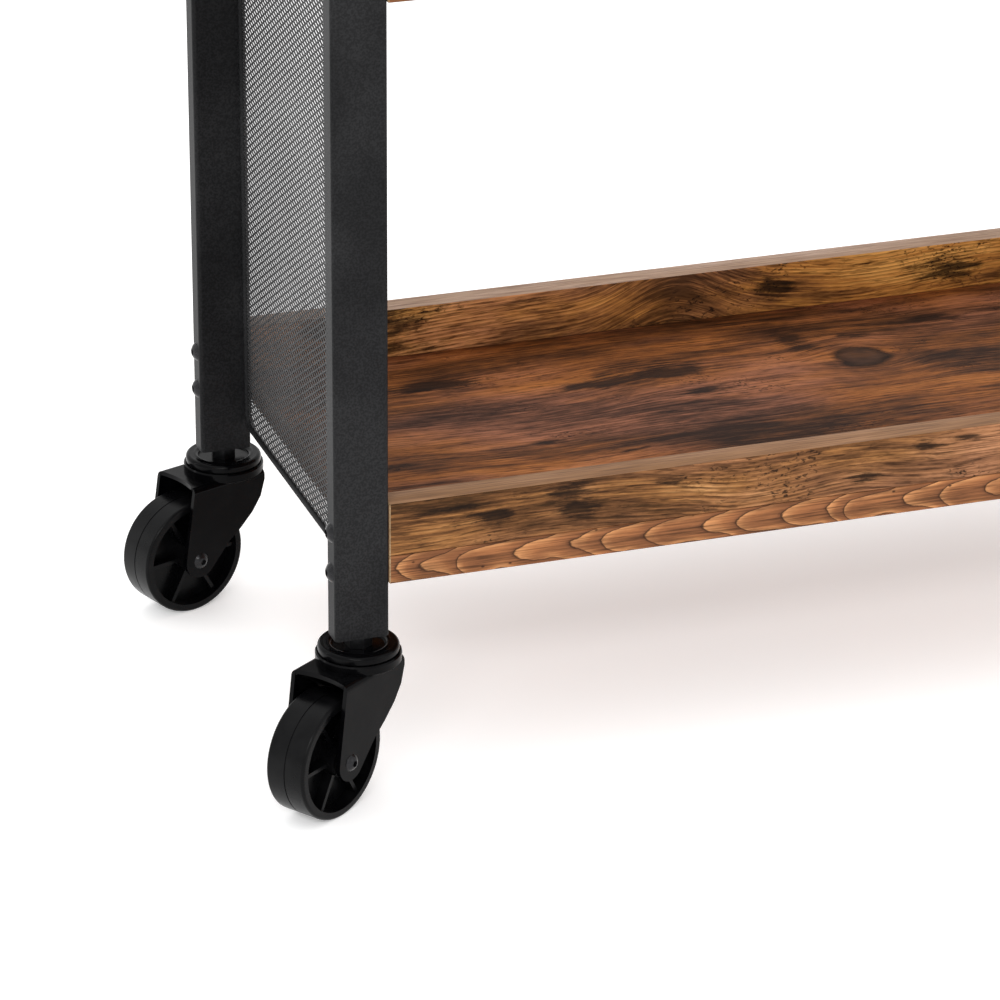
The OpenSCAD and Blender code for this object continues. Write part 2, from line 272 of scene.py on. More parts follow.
@dataclass(frozen=True)
class WoodPrint:
    """Reclaimed-wood print on paper, pressed with melamine on particle board: matt and warm.

    The print has growth lines that bend and arch, fibres, brown and violet zones,
    ragged near-black stains, worm holes and knots.
    """

    name: str
    lie: Lie
    corner: Vector                 # the board's left end and lower edge
    seed: float
    inks: Palette = Palette()
    ring_mm: float = 3.2           # spacing of the growth lines
    ring_share: float = 0.3
    sway_mm: float = 9.0           # how far the growth lines wander
    arch_mm: float = 0.0           # how far the growth lines rise in an arch
    arch: Mark = Mark(264, 15, 38, 400)
    tone_base: float = -0.62       # brings the sum of the fields between the inks' ends
    ragged: float = 0.9            # how ragged the growth lines and the stains are
    stain_level: float = 0.6
    stain_edge: float = 0.2        # how softly a stain ends
    stain_share: float = 0.88
    stain_pull: float = 0.31       # what a mark adds to the stains round it
    hole_level: float = 0.55
    hole_edge: float = 0.08
    hole_share: float = 0.85
    knot_rate: float = 0.22        # how slowly the bend of the lines round a knot dies away
    knot_part: float = 0.85        # how far the lines part there
    light_pull: float = 0.13
    relief_mm: float = 0.12
    gleam: float = 0.08            # the print is pressed matt
    stains: tuple[Mark, ...] = ()
    knots: tuple[Mark, ...] = ()
    lights: tuple[Mark, ...] = ()

    def near(self, shade: Shader, spots: tuple, mark: Mark) -> bpy.types.Node:
        """Squared distance from a mark's middle, in its own half sizes.

        Args:
            shade: The material.
            spots: Outputs that hold the distance along and across the grain.
            mark: The mark.

        Returns:
            The node.
        """
        total = 0.0
        for spot, middle, half in ((spots[0], mark.along_mm, mark.half_l_mm),
                                   (spots[1], mark.across_mm, mark.half_w_mm)):
            step = shade.add("Math", {0: spot, 1: 1 / (half * MM), 2: -middle / half},
                             operation="MULTIPLY_ADD")
            total = shade.add("Math", {0: step, 1: step, 2: total}, operation="MULTIPLY_ADD")
        return total

    def fade(self, shade: Shader, spots: tuple, mark: Mark, rate: float = 1.0) -> bpy.types.Node:
        """A bell over a mark: 1 in its middle, and less the farther out.

        Args:
            shade: The material.
            spots: Outputs that hold the distance along and across the grain.
            mark: The mark.
            rate: How fast it fades.

        Returns:
            The node.
        """
        fall = shade.add("Math", {0: self.near(shade, spots, mark), 1: -rate}, operation="MULTIPLY")
        return shade.add("Math", {0: fall}, operation="EXPONENT")

    def bend(self, shade: Shader, spots: tuple, flat: bpy.types.Node) -> bpy.types.Node:
        """Height across the grain after the growth lines wander, arch, and part round each knot.

        Args:
            shade: The material.
            spots: Outputs that hold the distance along and across the grain.
            flat: The face's own coordinates.

        Returns:
            The node.
        """
        spread = shade.add("VectorMath", {0: flat, 1: (6.5, 8.0, 1.0)}, operation="MULTIPLY")
        sway = shade.add("TexNoise", {"Vector": spread, "Scale": 1.0, "Detail": 1.0})
        bent = shade.add("Math", {0: sway, 1: self.sway_mm * MM * 3, 2: spots[1]}, operation="MULTIPLY_ADD")
        if self.arch_mm:
            rise = self.fade(shade, spots, self.arch)
            bent = shade.add("Math", {0: rise, 1: -self.arch_mm * MM, 2: bent}, operation="MULTIPLY_ADD")
        for knot in self.knots:
            fade = self.fade(shade, spots, knot, self.knot_rate)
            aside = shade.add("Math", {0: spots[1], 1: knot.across_mm * MM}, operation="SUBTRACT")
            pull = shade.add("Math", {0: aside, 1: fade}, operation="MULTIPLY")
            bent = shade.add("Math", {0: pull, 1: -self.knot_part, 2: bent}, operation="MULTIPLY_ADD")
        return bent

    def noises(self, shade: Shader, flat: bpy.types.Node, curved: bpy.types.Node) -> dict:
        """Noise fields that the print is made from.

        Args:
            shade: The material.
            flat: The face's own coordinates.
            curved: The same, bent as the growth lines are.

        Returns:
            Field name to its node.
        """
        fields = {}
        for name, source, stretch, detail, rough in (    # stretch: features in a metre along and across
                ("zone", flat, (6.0, 17.0, 1.0), 6.0, 0.65),
                ("hue", flat, (4.0, 11.0, 2.3), 5.0, 0.6),
                ("band", curved, (6.0, 90.0, 1.0), 5.0, 0.7),
                ("fibre", curved, (26.0, 520.0, 1.0), 5.0, 0.75),
                ("dash", curved, (75.0, 950.0, 2.4), 2.0, 0.5),
                ("cloud", flat, (11.0, 30.0, 3.1), 8.0, 0.72),
                ("torn", curved, (26.0, 300.0, 1.7), 6.0, 0.7),
                ("worm", flat, (16.0, 26.0, 4.2), 4.0, 0.6)):
            spot = shade.add("VectorMath", {0: source, 1: stretch}, operation="MULTIPLY")
            fields[name] = shade.add("TexNoise", {"Vector": spot, "Scale": 1.0, "Detail": detail,
                                                  "Roughness": rough})
        return fields

    def wash(self, shade: Shader, spots: tuple, fields: dict) -> bpy.types.Node:
        """The wood's brown tones, turned towards violet in some zones.

        Args:
            shade: The material.
            spots: Outputs that hold the distance along and across the grain.
            fields: The noise fields.

        Returns:
            The node.
        """
        tone = self.tone_base
        for name, weight in (("zone", 0.95), ("band", 0.65), ("fibre", 0.65)):
            tone = shade.add("Math", {0: fields[name], 1: weight, 2: tone}, operation="MULTIPLY_ADD")
        for mark in self.lights:
            fade = self.fade(shade, spots, mark)
            tone = shade.add("Math", {0: fade, 1: self.light_pull, 2: tone}, operation="MULTIPLY_ADD")
        inks = self.inks
        wood = shade.add("ValToRGB", {0: tone}, (
            (0.34, inks.dark), (0.72, inks.pale), (0.45, inks.brown), (0.56, inks.middle)))
        share = shade.add("ValToRGB", {0: fields["hue"]}, ((0.47, 0.0), (0.62, 0.6)))
        return shade.add("Mix", {0: share, 6: wood, 7: inks.violet}, data_type="RGBA", blend_type="COLOR")

    def lines(self, shade: Shader, bent: bpy.types.Node, fields: dict) -> bpy.types.Node:
        """Where the growth lines show: each fades in slowly and ends sharply.

        Args:
            shade: The material.
            bent: Height across the grain after bending.
            fields: The noise fields.

        Returns:
            The node.
        """
        turn = shade.add("Math", {0: bent, 1: 1 / (self.ring_mm * MM), 2: 0.0}, operation="MULTIPLY_ADD")
        turn = shade.add("Math", {0: fields["torn"], 1: self.ragged, 2: turn}, operation="MULTIPLY_ADD")
        line = shade.add("ValToRGB", {0: shade.add("Math", {0: turn}, operation="FRACT")},
                         ((0.2, 0.0), (0.98, 0.0), (0.82, 1.0)))
        faint = shade.add("ValToRGB", {0: fields["band"]}, ((0.4, 0.2), (0.6, 1.0)))
        share = shade.add("Math", {0: line, 1: faint}, operation="MULTIPLY")
        return shade.add("Math", {0: share, 1: self.ring_share}, operation="MULTIPLY")

    def soak(self, shade: Shader, spots: tuple, fields: dict) -> bpy.types.Node:
        """Where the ragged stains show: thickest round the marks.

        Args:
            shade: The material.
            spots: Outputs that hold the distance along and across the grain.
            fields: The noise fields.

        Returns:
            The node.
        """
        soak = shade.add("Math", {0: fields["torn"], 1: self.ragged, 2: -self.ragged / 2},
                         operation="MULTIPLY_ADD")
        soak = shade.add("Math", {0: fields["cloud"], 1: soak}, operation="ADD")
        for mark in self.stains:
            fade = self.fade(shade, spots, mark)
            soak = shade.add("Math", {0: fade, 1: self.stain_pull, 2: soak}, operation="MULTIPLY_ADD")
        return shade.add("MapRange", {0: soak, 1: self.stain_level, 2: self.stain_level + self.stain_edge,
                                      3: 0.0, 4: self.stain_share}, interpolation_type="SMOOTHSTEP")

    def holes(self, shade: Shader, flat: bpy.types.Node, fields: dict) -> bpy.types.Node:
        """Where the worm holes and short cracks show, in swarms.

        Args:
            shade: The material.
            flat: The face's own coordinates.
            fields: The noise fields.

        Returns:
            The node.
        """
        dots = shade.add("VectorMath", {0: flat, 1: (260.0, 520.0, 1.0)}, operation="MULTIPLY")
        shake = shade.add("TexNoise", {"Vector": dots, "Scale": 1.1, "Detail": 3.0}).outputs["Color"]
        dots = shade.add("VectorMath", {0: shake, 1: (2.6, 2.6, 0.0), 2: dots}, operation="MULTIPLY_ADD")
        pits = shade.add("TexVoronoi", {"Vector": dots, "Scale": 1.0}, feature="F1")
        hole = shade.add("ValToRGB", {0: pits}, ((0.2, 1.0), (0.42, 0.0)))
        swarm = shade.add("MapRange", {0: fields["worm"], 1: self.hole_level,
                                       2: self.hole_level + self.hole_edge, 3: 0.0, 4: self.hole_share})
        return shade.add("Math", {0: hole, 1: swarm}, operation="MULTIPLY")

    def knotted(self, shade: Shader, spots: tuple, fields: dict, wood: bpy.types.Node) -> bpy.types.Node:
        """The wood with each knot's dark heart and rim laid over it.

        Args:
            shade: The material.
            spots: Outputs that hold the distance along and across the grain.
            fields: The noise fields.
            wood: The wood's colour so far.

        Returns:
            The node.
        """
        for knot in self.knots:
            reach = shade.add("Math", {0: self.near(shade, spots, knot)}, operation="SQRT")
            reach = shade.add("Math", {0: fields["cloud"], 1: 2.2, 2: reach}, operation="MULTIPLY_ADD")
            reach = shade.add("Math", {0: reach, 1: 0.5, 2: -0.55}, operation="MULTIPLY_ADD")
            heart = shade.add("ValToRGB", {0: reach}, ((0.0, 0.8), (0.64, 0.0), (0.47, 0.9), (0.54, 0.5)))
            iris = shade.add("ValToRGB", {0: reach}, (
                (0.0, "#33231a"), (0.6, "#120b07"), (0.25, "#3c2a21"), (0.4, "#261912"), (0.47, "#0e0805")))
            wood = shade.add("Mix", {0: heart, 6: wood, 7: iris}, data_type="RGBA")
        return wood

    def build(self) -> bpy.types.Material:
        """Makes the material: inks laid over each other, and a faint relief of fibres and holes.

        Returns:
            The material.
        """
        shade = Shader(self.name)
        axes = shade.add("SeparateXYZ", {0: shade.place}).outputs
        along = shade.add("Math", {0: axes["X"], 1: self.corner.x}, operation="SUBTRACT")
        foot = self.corner.y if self.lie is Lie.FLAT else self.corner.z
        across = shade.add("Math", {0: axes[self.lie.value], 1: foot}, operation="SUBTRACT")
        spots = (along, across)
        flat = shade.add("CombineXYZ", {0: along, 1: across, 2: self.seed})
        bent = self.bend(shade, spots, flat)
        curved = shade.add("CombineXYZ", {0: along, 1: bent, 2: self.seed})
        fields = self.noises(shade, flat, curved)

        wood = self.wash(shade, spots, fields)
        dashes = shade.add("ValToRGB", {0: fields["dash"]}, ((0.35, 0.62), (0.45, 0.0)))
        holes = self.holes(shade, flat, fields)
        for share, ink in ((self.lines(shade, bent, fields), self.inks.line), (dashes, self.inks.line),
                           (self.soak(shade, spots, fields), self.inks.stain), (holes, self.inks.stain)):
            wood = shade.add("Mix", {0: share, 6: wood, 7: ink}, data_type="RGBA")
        wood = self.knotted(shade, spots, fields, wood)

        rough = shade.add("Math", {0: fields["fibre"], 1: -0.2, 2: 0.66}, operation="MULTIPLY_ADD")
        relief = shade.add("Math", {0: holes, 1: -1.0, 2: fields["fibre"]}, operation="MULTIPLY_ADD")
        bump = shade.add("Bump", {"Height": relief, "Distance": self.relief_mm * MM, "Strength": 0.7})
        return shade.dress(Base_Color=wood, Roughness=rough, Normal=bump, IOR=1.5,
                           Specular_IOR_Level=self.gleam)


@dataclass(frozen=True)
class GougedBand:
    """Edge tape printed with overlapping gouge cuts: orange-tan tongues, each with a dark rim."""

    name: str
    seed: float
    corner: Vector
    height: float
    cut_mm: float = 25.0
    colour: str = "#8f5c38"
    pale: str = "#b47d50"
    shadow: str = "#75492d"
    rim: str = "#331c0e"
    first_cut: float = 40.0        # keeps the count of cuts above zero
    drift_cuts: float = 4.2        # how uneven the spacing is, in cuts
    wobble_cuts: float = 0.3
    bow_cuts: float = 0.85         # how far a tongue's ends run back

    def build(self) -> bpy.types.Material:
        """Makes the material.

        Returns:
            The material.
        """
        shade = Shader(self.name)
        axes = shade.add("SeparateXYZ", {0: shade.place}).outputs
        up = shade.add("MapRange", {0: axes["Z"], 1: self.corner.z, 2: self.corner.z + self.height,
                                    3: -1.0, 4: 1.0})
        flat = shade.add("CombineXYZ", {0: axes["X"], 1: axes["Z"], 2: self.seed})
        fields = {}
        for name, stretch, detail in (      # features in a metre along and up, detail
                ("drift", (22.0, 0.0, 1.0), 1.0),
                ("wobble", (110.0, 160.0, 1.0), 3.0),
                ("fibre", (30.0, 900.0, 1.0), 4.0),
                ("streak", (9.0, 160.0, 2.0), 4.0),
                ("cloud", (24.0, 60.0, 3.0), 5.0)):
            spot = shade.add("VectorMath", {0: flat, 1: stretch}, operation="MULTIPLY")
            fields[name] = shade.add("TexNoise", {"Vector": spot, "Scale": 1.0, "Detail": detail,
                                                  "Roughness": 0.6})

        # each cut's end is a rounded tongue: its edge runs back with the square of the height
        high = shade.add("Math", {0: fields["drift"], 1: 1.6, 2: -0.8}, operation="MULTIPLY_ADD")
        high = shade.add("Math", {0: up, 1: high}, operation="ADD")
        bow = shade.add("Math", {0: high, 1: high}, operation="MULTIPLY")
        count = shade.add("Math", {0: axes["X"], 1: 1 / (self.cut_mm * MM), 2: self.first_cut},
                          operation="MULTIPLY_ADD")
        for source, cuts in ((fields["drift"], self.drift_cuts), (fields["wobble"], self.wobble_cuts),
                             (bow, -self.bow_cuts)):
            count = shade.add("Math", {0: source, 1: cuts, 2: count}, operation="MULTIPLY_ADD")
        cut = shade.add("Math", {0: count}, operation="FRACT")
        body = shade.add("ValToRGB", {0: cut}, ((0.1, self.pale), (0.98, self.shadow), (0.5, self.colour)))
        grain = shade.add("Math", {0: fields["streak"], 1: 0.7, 2: fields["fibre"]}, operation="MULTIPLY_ADD")
        grain = shade.add("ValToRGB", {0: grain}, ((0.7, 0.4), (0.98, 1.25)))
        body = shade.add("Mix", {0: 1.0, 6: body, 7: grain}, data_type="RGBA", blend_type="MULTIPLY")
        dull = shade.add("ValToRGB", {0: fields["cloud"]}, ((0.5, 0.0), (0.66, 0.75)))
        body = shade.add("Mix", {0: dull, 6: body, 7: self.shadow}, data_type="RGBA")
        edge = shade.add("ValToRGB", {0: cut}, (
            (0.0, 0.95), (0.99, 0.35), (0.045, 0.9), (0.09, 0.0), (0.9, 0.0)))
        body = shade.add("Mix", {0: edge, 6: body, 7: self.rim}, data_type="RGBA")
        spot = shade.add("VectorMath", {0: flat, 1: (95.0, 150.0, 1.0)}, operation="MULTIPLY")
        pits = shade.add("TexVoronoi", {"Vector": spot, "Scale": 1.0})
        hole = shade.add("ValToRGB", {0: pits}, ((0.06, 0.9), (0.13, 0.0)))
        body = shade.add("Mix", {0: hole, 6: body, 7: self.rim}, data_type="RGBA")
        bump = shade.add("Bump", {"Height": fields["fibre"], "Distance": 0.1 * MM, "Strength": 0.7})
        return shade.dress(Base_Color=body, Roughness=0.58, Normal=bump, IOR=1.5, Specular_IOR_Level=0.15)


@dataclass(frozen=True)
class PlainBand:
    """Plain edge tape of the same wood, or the raw core: pale, with short fine grain."""

    name: str
    seed: float
    colour: str
    pale: str
    line: str

    def build(self) -> bpy.types.Material:
        """Makes the material.

        Returns:
            The material.
        """
        shade = Shader(self.name)
        moved = shade.add("VectorMath", {0: shade.place, 1: (self.seed, self.seed, 0.0)})
        fields = {}
        for name, stretch in (("fibre", (28.0, 900.0, 900.0)), ("cloud", (9.0, 60.0, 60.0))):
            spot = shade.add("VectorMath", {0: moved, 1: stretch}, operation="MULTIPLY")
            fields[name] = shade.add("TexNoise", {"Vector": spot, "Scale": 1.0, "Detail": 4.0,
                                                  "Roughness": 0.65})
        share = shade.add("ValToRGB", {0: fields["cloud"]}, ((0.4, 0.0), (0.62, 1.0)))
        body = shade.add("Mix", {0: share, 6: self.colour, 7: self.pale}, data_type="RGBA")
        share = shade.add("ValToRGB", {0: fields["fibre"]}, ((0.34, 0.8), (0.56, 0.0)))
        body = shade.add("Mix", {0: share, 6: body, 7: self.line}, data_type="RGBA")
        bump = shade.add("Bump", {"Height": fields["fibre"], "Distance": 0.08 * MM, "Strength": 0.7})
        return shade.dress(Base_Color=body, Roughness=0.6, Normal=bump, IOR=1.5, Specular_IOR_Level=0.12)


# ---- modelling tools --------------------------------------------------------

def only(piece: bpy.types.Object) -> None:
    """Makes one object the only selected one, and the active one.

    Args:
        piece: The object.
    """
    bpy.ops.object.select_all(action="DESELECT")
    piece.select_set(True)
    bpy.context.view_layer.objects.active = piece


def settle(piece: bpy.types.Object) -> bpy.types.Object:
    """Moves an object's place, turn and size into its mesh.

    Args:
        piece: The object.

    Returns:
        The same object.
    """
    only(piece)
    bpy.ops.object.transform_apply(location=True, rotation=True, scale=True)
    return piece


def modify(piece: bpy.types.Object, kind: str, **settings: object) -> None:
    """Adds a modifier and applies it.

    Args:
        piece: The object.
        kind: The modifier's type.
        **settings: Its settings.
    """
    only(piece)
    modifier = piece.modifiers.new(kind.lower(), kind)
    for key, value in settings.items():
        setattr(modifier, key, value)
    bpy.ops.object.modifier_apply(modifier=modifier.name)


# ---- shelves ----------------------------------------------------------------

@dataclass(frozen=True)
class ShelfMarks:
    """What shows on one shelf's print: near-black stains, knots, and zones of pale wood."""

    stains: tuple[Mark, ...]
    knots: tuple[Mark, ...]
    lights: tuple[Mark, ...]


@dataclass(frozen=True)
class RailLook:
    """A front or rear rail's print and the tape on its top; the rear rails' inks are lightened as painted
    light.
    """

    seed: float
    inks: Palette
    tape: str
    pale_tape: str
    sway_mm: float
    arch_mm: float
    stains: tuple[Mark, ...]


SHELF_SEED, RAIL_SEED_STEP, SHELF_SEED_STEP = 1.7, 2.3, 3.1      # where in the noise each print starts
SHELF_MARKS = {
    "bottom": ShelfMarks(
        (Mark(222, 202, 44, 12), Mark(180, 188, 34, 8), Mark(238, 190, 22, 6), Mark(132, 118, 13, 5),
         Mark(243, 162, 20, 7), Mark(46, 214, 36, 9), Mark(98, 216, 20, 7), Mark(321, 212, 16, 18),
         Mark(173, 94, 22, 4), Mark(356, 214, 16, 7), Mark(404, 222, 26, 6)),
        (Mark(349, 182, 15, 14), Mark(470, 70, 12, 9)),
        (Mark(365, 70, 70, 45), Mark(263, 230, 60, 16), Mark(440, 60, 70, 30), Mark(150, 200, 40, 20))),
    "middle": ShelfMarks(
        (Mark(140, 80, 50, 12), Mark(330, 150, 40, 10), Mark(500, 210, 36, 12), Mark(90, 190, 30, 9),
         Mark(430, 60, 26, 8)),
        (Mark(250, 96, 13, 14),),
        (Mark(120, 130, 60, 25), Mark(420, 180, 70, 25))),
    "top": ShelfMarks(
        (Mark(470, 90, 46, 13), Mark(210, 180, 52, 11), Mark(120, 70, 24, 8), Mark(380, 210, 30, 9),
         Mark(300, 60, 20, 7)),
        (Mark(180, 110, 15, 13), Mark(440, 196, 12, 14)),
        (Mark(300, 150, 80, 30), Mark(90, 220, 50, 18)))}
RAIL_LOOKS = {
    "front": RailLook(
        5.3, Palette("#402a16", "#694528", "#936439", "#bc8a57", "#6d4a38", "#28160a", "#120b07"),
        "#96704f", "#b08765", 14, 0,
        (Mark(34, 22, 22, 6), Mark(62, 14, 16, 8), Mark(104, 14, 15, 15), Mark(158, 22, 16, 7),
         Mark(270, 8, 14, 5), Mark(306, 21, 9, 6), Mark(332, 24, 12, 3), Mark(470, 12, 24, 7))),
    # the rear rails' inks are lighter than the front rails': painted light on faces that stand in the shade
    # under the shelves
    "rear": RailLook(
        8.9, Palette("#51331a", "#8b5a30", "#c1813f", "#eaa95a", "#875a42", "#2a170a", "#120b07"),
        "#b0937c", "#c5a995", 7, 20,
        (Mark(82, 14, 46, 32), Mark(326, 16, 14, 8), Mark(48, 22, 14, 6), Mark(440, 14, 30, 8)))}


@dataclass
class ShelfBoards:
    """The laminated boards: three shelves, and the rails that stand on their long edges."""

    arris: float = 0.8 * MM
    arris_rad: float = 0.5         # an edge bends more than this
    flat_at_least: float = 0.99    # how squarely a board's face looks along its axis
    cut_at_least: float = 0.2      # how far the eased edges of the ends look along X
    smooth_deg: float = 40.0
    print_mm: float = 600.0        # the rails' print repeats after this
    shift_mm: float = 190.0        # and each tier's rails are cut this much farther along it
    made: list[bpy.types.Object] = field(default_factory=list)

    def board(self, node: str, foot: float, faces: dict[str, bpy.types.Material],
              core: bpy.types.Material) -> None:
        """One board with eased edges and a material on each pair of faces.

        Args:
            node: The CAD node that it stands for.
            foot: Height of its underside.
            faces: Axis letter to the material of the two faces that look along it.
            core: Material of the eased edges at its ends, where the tape is cut.
        """
        low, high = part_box(node)
        low.z = foot
        bpy.ops.object.select_all(action="DESELECT")
        bpy.ops.mesh.primitive_cube_add(size=1, location=(low + high) / 2)
        piece = bpy.context.object
        piece.name = f"{node}_board"
        piece.scale = high - low
        settle(piece)
        modify(piece, "BEVEL", width=self.arris, segments=3, limit_method="ANGLE",
               angle_limit=self.arris_rad)
        for material in (*faces.values(), core):
            piece.data.materials.append(material)
        for polygon in piece.data.polygons:
            reach = [abs(c) for c in polygon.normal]
            if reach[0] > self.cut_at_least and max(reach) < self.flat_at_least:
                polygon.material_index = len(faces)
            else:
                polygon.material_index = list(faces).index("XYZ"[reach.index(max(reach))])
        only(piece)
        bpy.ops.object.shade_smooth_by_angle(angle=math.radians(self.smooth_deg))
        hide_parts(node)
        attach(piece, "frame")
        self.made.append(piece)

    def rail(self, tier: int, side: str, corner: Vector, ends: bpy.types.Material,
             core: bpy.types.Material) -> None:
        """One rail with its own stretch of the print.

        Args:
            tier: The shelf's number from below, from 0.
            side: "front" or "rear".
            corner: The left end and front edge of the shelf's top.
            ends: Material of its two ends.
            core: Material of the eased edges there.
        """
        look = RAIL_LOOKS[side]
        name = f"{TIERS[tier]}_{side}"
        moved = tuple(replace(mark, along_mm=(mark.along_mm + self.shift_mm * tier) % self.print_mm)
                      for mark in look.stains)
        face = WoodPrint(f"rail_print_{name}", Lie.UPRIGHT, corner, look.seed + RAIL_SEED_STEP * tier,
                         look.inks, ring_mm=2.4, ring_share=0.65, sway_mm=look.sway_mm,
                         arch_mm=look.arch_mm, hole_level=0.53, stains=moved)
        tape = PlainBand(f"rail_band_{name}", look.seed, look.tape, look.pale_tape, "#6f5341")
        self.board(f"rail_{name}", corner.z, {"X": ends, "Y": face.build(), "Z": tape.build()}, core)

    def build(self) -> None:
        """Makes all nine boards."""
        core = PlainBand("board_core", 9.0, "#8d7458", "#a48a6b", "#6d5439").build()
        ends = PlainBand("end_band", 4.0, "#6d4a35", "#87614a", "#46301f").build()
        for tier, name in enumerate(TIERS):
            low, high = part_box(f"shelf_{name}")
            marks = SHELF_MARKS[name]
            top = WoodPrint(f"shelf_print_{name}", Lie.FLAT, low, SHELF_SEED + SHELF_SEED_STEP * tier,
                            stains=marks.stains, knots=marks.knots, lights=marks.lights)
            band = GougedBand(f"gouged_band_{name}", 2.0 + tier, low, high.z - low.z)
            self.board(f"shelf_{name}", low.z, {"X": ends, "Y": band.build(), "Z": top.build()}, core)
            for side in RAIL_LOOKS:
                self.rail(tier, side, Vector((low.x, low.y, high.z)), ends, core)


# ---- mesh panels ------------------------------------------------------------

@dataclass
class MeshPanel:
    """A sheet of expanded steel: slit and drawn open into diamonds, so each strand is twisted."""

    side: str
    finish: bpy.types.Material
    long_way: float = 7.0 * MM
    short_way: float = 4.2 * MM
    strand: float = 0.5 * MM        # half a strand's width
    twist: float = 0.3 * MM         # how far a knuckle stands out of the sheet's middle
    gauge: float = 0.45 * MM
    merge: float = 0.05 * MM        # points nearer than this become one

    def diamond(self, name: str, foot: Vector, pitch: Vector) -> bpy.types.Object:
        """One opening of the sheet with its twisted strands.

        Args:
            name: The piece's name.
            foot: Lower corner of the opening's cell.
            pitch: Size of the cell along Y and Z.

        Returns:
            The piece.
        """
        bpy.ops.object.select_all(action="DESELECT")
        bpy.ops.mesh.primitive_circle_add(vertices=4, radius=0.5, fill_type="NGON",
                                          rotation=(math.pi / 2, 0, math.pi / 2))
        piece = bpy.context.object
        piece.name = name
        settle(piece)
        piece.scale = (1, pitch.y, pitch.z)
        piece.location = foot + pitch / 2
        settle(piece)
        bpy.ops.object.mode_set(mode="EDIT")
        bpy.ops.mesh.select_mode(type="VERT")
        bpy.ops.mesh.select_all(action="SELECT")
        bpy.ops.mesh.inset(thickness=self.strand, depth=0)
        bpy.ops.mesh.delete(type="FACE")
        middle = foot.z + pitch.z / 2
        for way in (-1, 1):
            bpy.ops.mesh.select_all(action="DESELECT")
            bpy.ops.object.mode_set(mode="OBJECT")
            for vertex in piece.data.vertices:
                rise = way * (vertex.co.z - middle)
                vertex.select = pitch.z / 8 < rise < pitch.z / 2 - self.strand / 2
            bpy.ops.object.mode_set(mode="EDIT")
            bpy.ops.transform.translate(value=(-way * self.twist, 0, 0))
        bpy.ops.object.mode_set(mode="OBJECT")
        return piece

    def build(self) -> list[bpy.types.Object]:
        """Makes the sheet in a lower and an upper half, out to the middles of its frame's rods.

        Returns:
            The two halves.
        """
        low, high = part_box(f"mesh_frame_{self.side}")
        rod_r = (high.x - low.x) / 2
        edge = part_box(f"mesh_sheet_{self.side}")[0].y - rod_r
        foot = Vector(((low.x + high.x) / 2, edge, low.z + rod_r))
        span_y = -2 * edge
        span_z = high.z - rod_r - foot.z
        columns = round(span_y / self.long_way - 0.5)
        rows = round(span_z / self.short_way - 0.5)
        pitch = Vector((0, span_y / (columns + 0.5), span_z / (rows + 0.5)))
        halves = []
        for name, first, count in (("lower", 0, rows // 2), ("upper", rows // 2, rows - rows // 2)):
            piece = self.diamond(f"mesh_{self.side}_{name}", foot + Vector((0, 0, first * pitch.z)), pitch)
            for offset, number in (((0, pitch.y / 2, pitch.z / 2), 2), ((0, pitch.y, 0), columns),
                                   ((0, 0, pitch.z), count)):
                modify(piece, "ARRAY", count=number, use_relative_offset=False, use_constant_offset=True,
                       constant_offset_displace=offset)
            bpy.ops.object.mode_set(mode="EDIT")
            bpy.ops.mesh.select_all(action="SELECT")
            bpy.ops.mesh.remove_doubles(threshold=self.merge)
            bpy.ops.mesh.normals_make_consistent(inside=False)
            bpy.ops.object.mode_set(mode="OBJECT")
            modify(piece, "SOLIDIFY", thickness=self.gauge, offset=0)
            piece.data.materials.append(self.finish)
            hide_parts(f"mesh_sheet_{self.side}")
            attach(piece, "frame")
            halves.append(piece)
        return halves


# ---- pressed and moulded pieces ---------------------------------------------

@dataclass(frozen=True)
class EasedCopy:
    """A copy of a CAD node whose sharp edges are eased, as pressing, moulding and dipping leave them."""

    node: str
    body: str
    slot: str
    finish: bpy.types.Material
    ease: float = 0.4 * MM
    merge: float = 0.01 * MM
    flat_deg: float = 1.0          # triangles that meet flatter than this become one face
    sharp_deg: float = 32.0        # edges sharper than this are eased
    smooth_deg: float = 40.0       # and what then meets flatter than this is shaded smooth

    def build(self) -> bpy.types.Object:
        """Makes the copy: merges the triangles, eases each sharp edge and smooths the rest.

        Returns:
            The piece.
        """
        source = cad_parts[self.node]
        piece = bpy.data.objects.new(f"{self.node}_eased", source.data.copy())
        bpy.context.scene.collection.objects.link(piece)
        only(piece)
        bpy.ops.object.mode_set(mode="EDIT")
        bpy.ops.mesh.select_all(action="SELECT")
        bpy.ops.mesh.remove_doubles(threshold=self.merge)
        bpy.ops.mesh.dissolve_limited(angle_limit=math.radians(self.flat_deg))
        bpy.ops.mesh.normals_make_consistent(inside=False)
        bpy.ops.object.mode_set(mode="OBJECT")
        modify(piece, "BEVEL", width=self.ease, segments=2, limit_method="ANGLE",
               angle_limit=math.radians(self.sharp_deg))
        only(piece)
        bpy.ops.object.shade_smooth_by_angle(angle=math.radians(self.smooth_deg))
        modify(piece, "WEIGHTED_NORMAL", keep_sharp=True, weight=100)    # keeps the wide faces flat
        piece.data.materials.clear()
        piece.data.materials.append(self.finish)
        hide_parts(self.node)
        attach(piece, self.body)
        return piece


def dress_nodes(finishes: dict[str, bpy.types.Material]) -> None:
    """Gives each CAD node its finish.

    Args:
        finishes: Start of a node's name to its material; the longest match holds.
    """
    for name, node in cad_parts.items():
        match = max((start for start in finishes if name.startswith(start)), key=len)
        node.data.materials.clear()
        node.data.materials.append(finishes[match])


# ---- studio -----------------------------------------------------------------

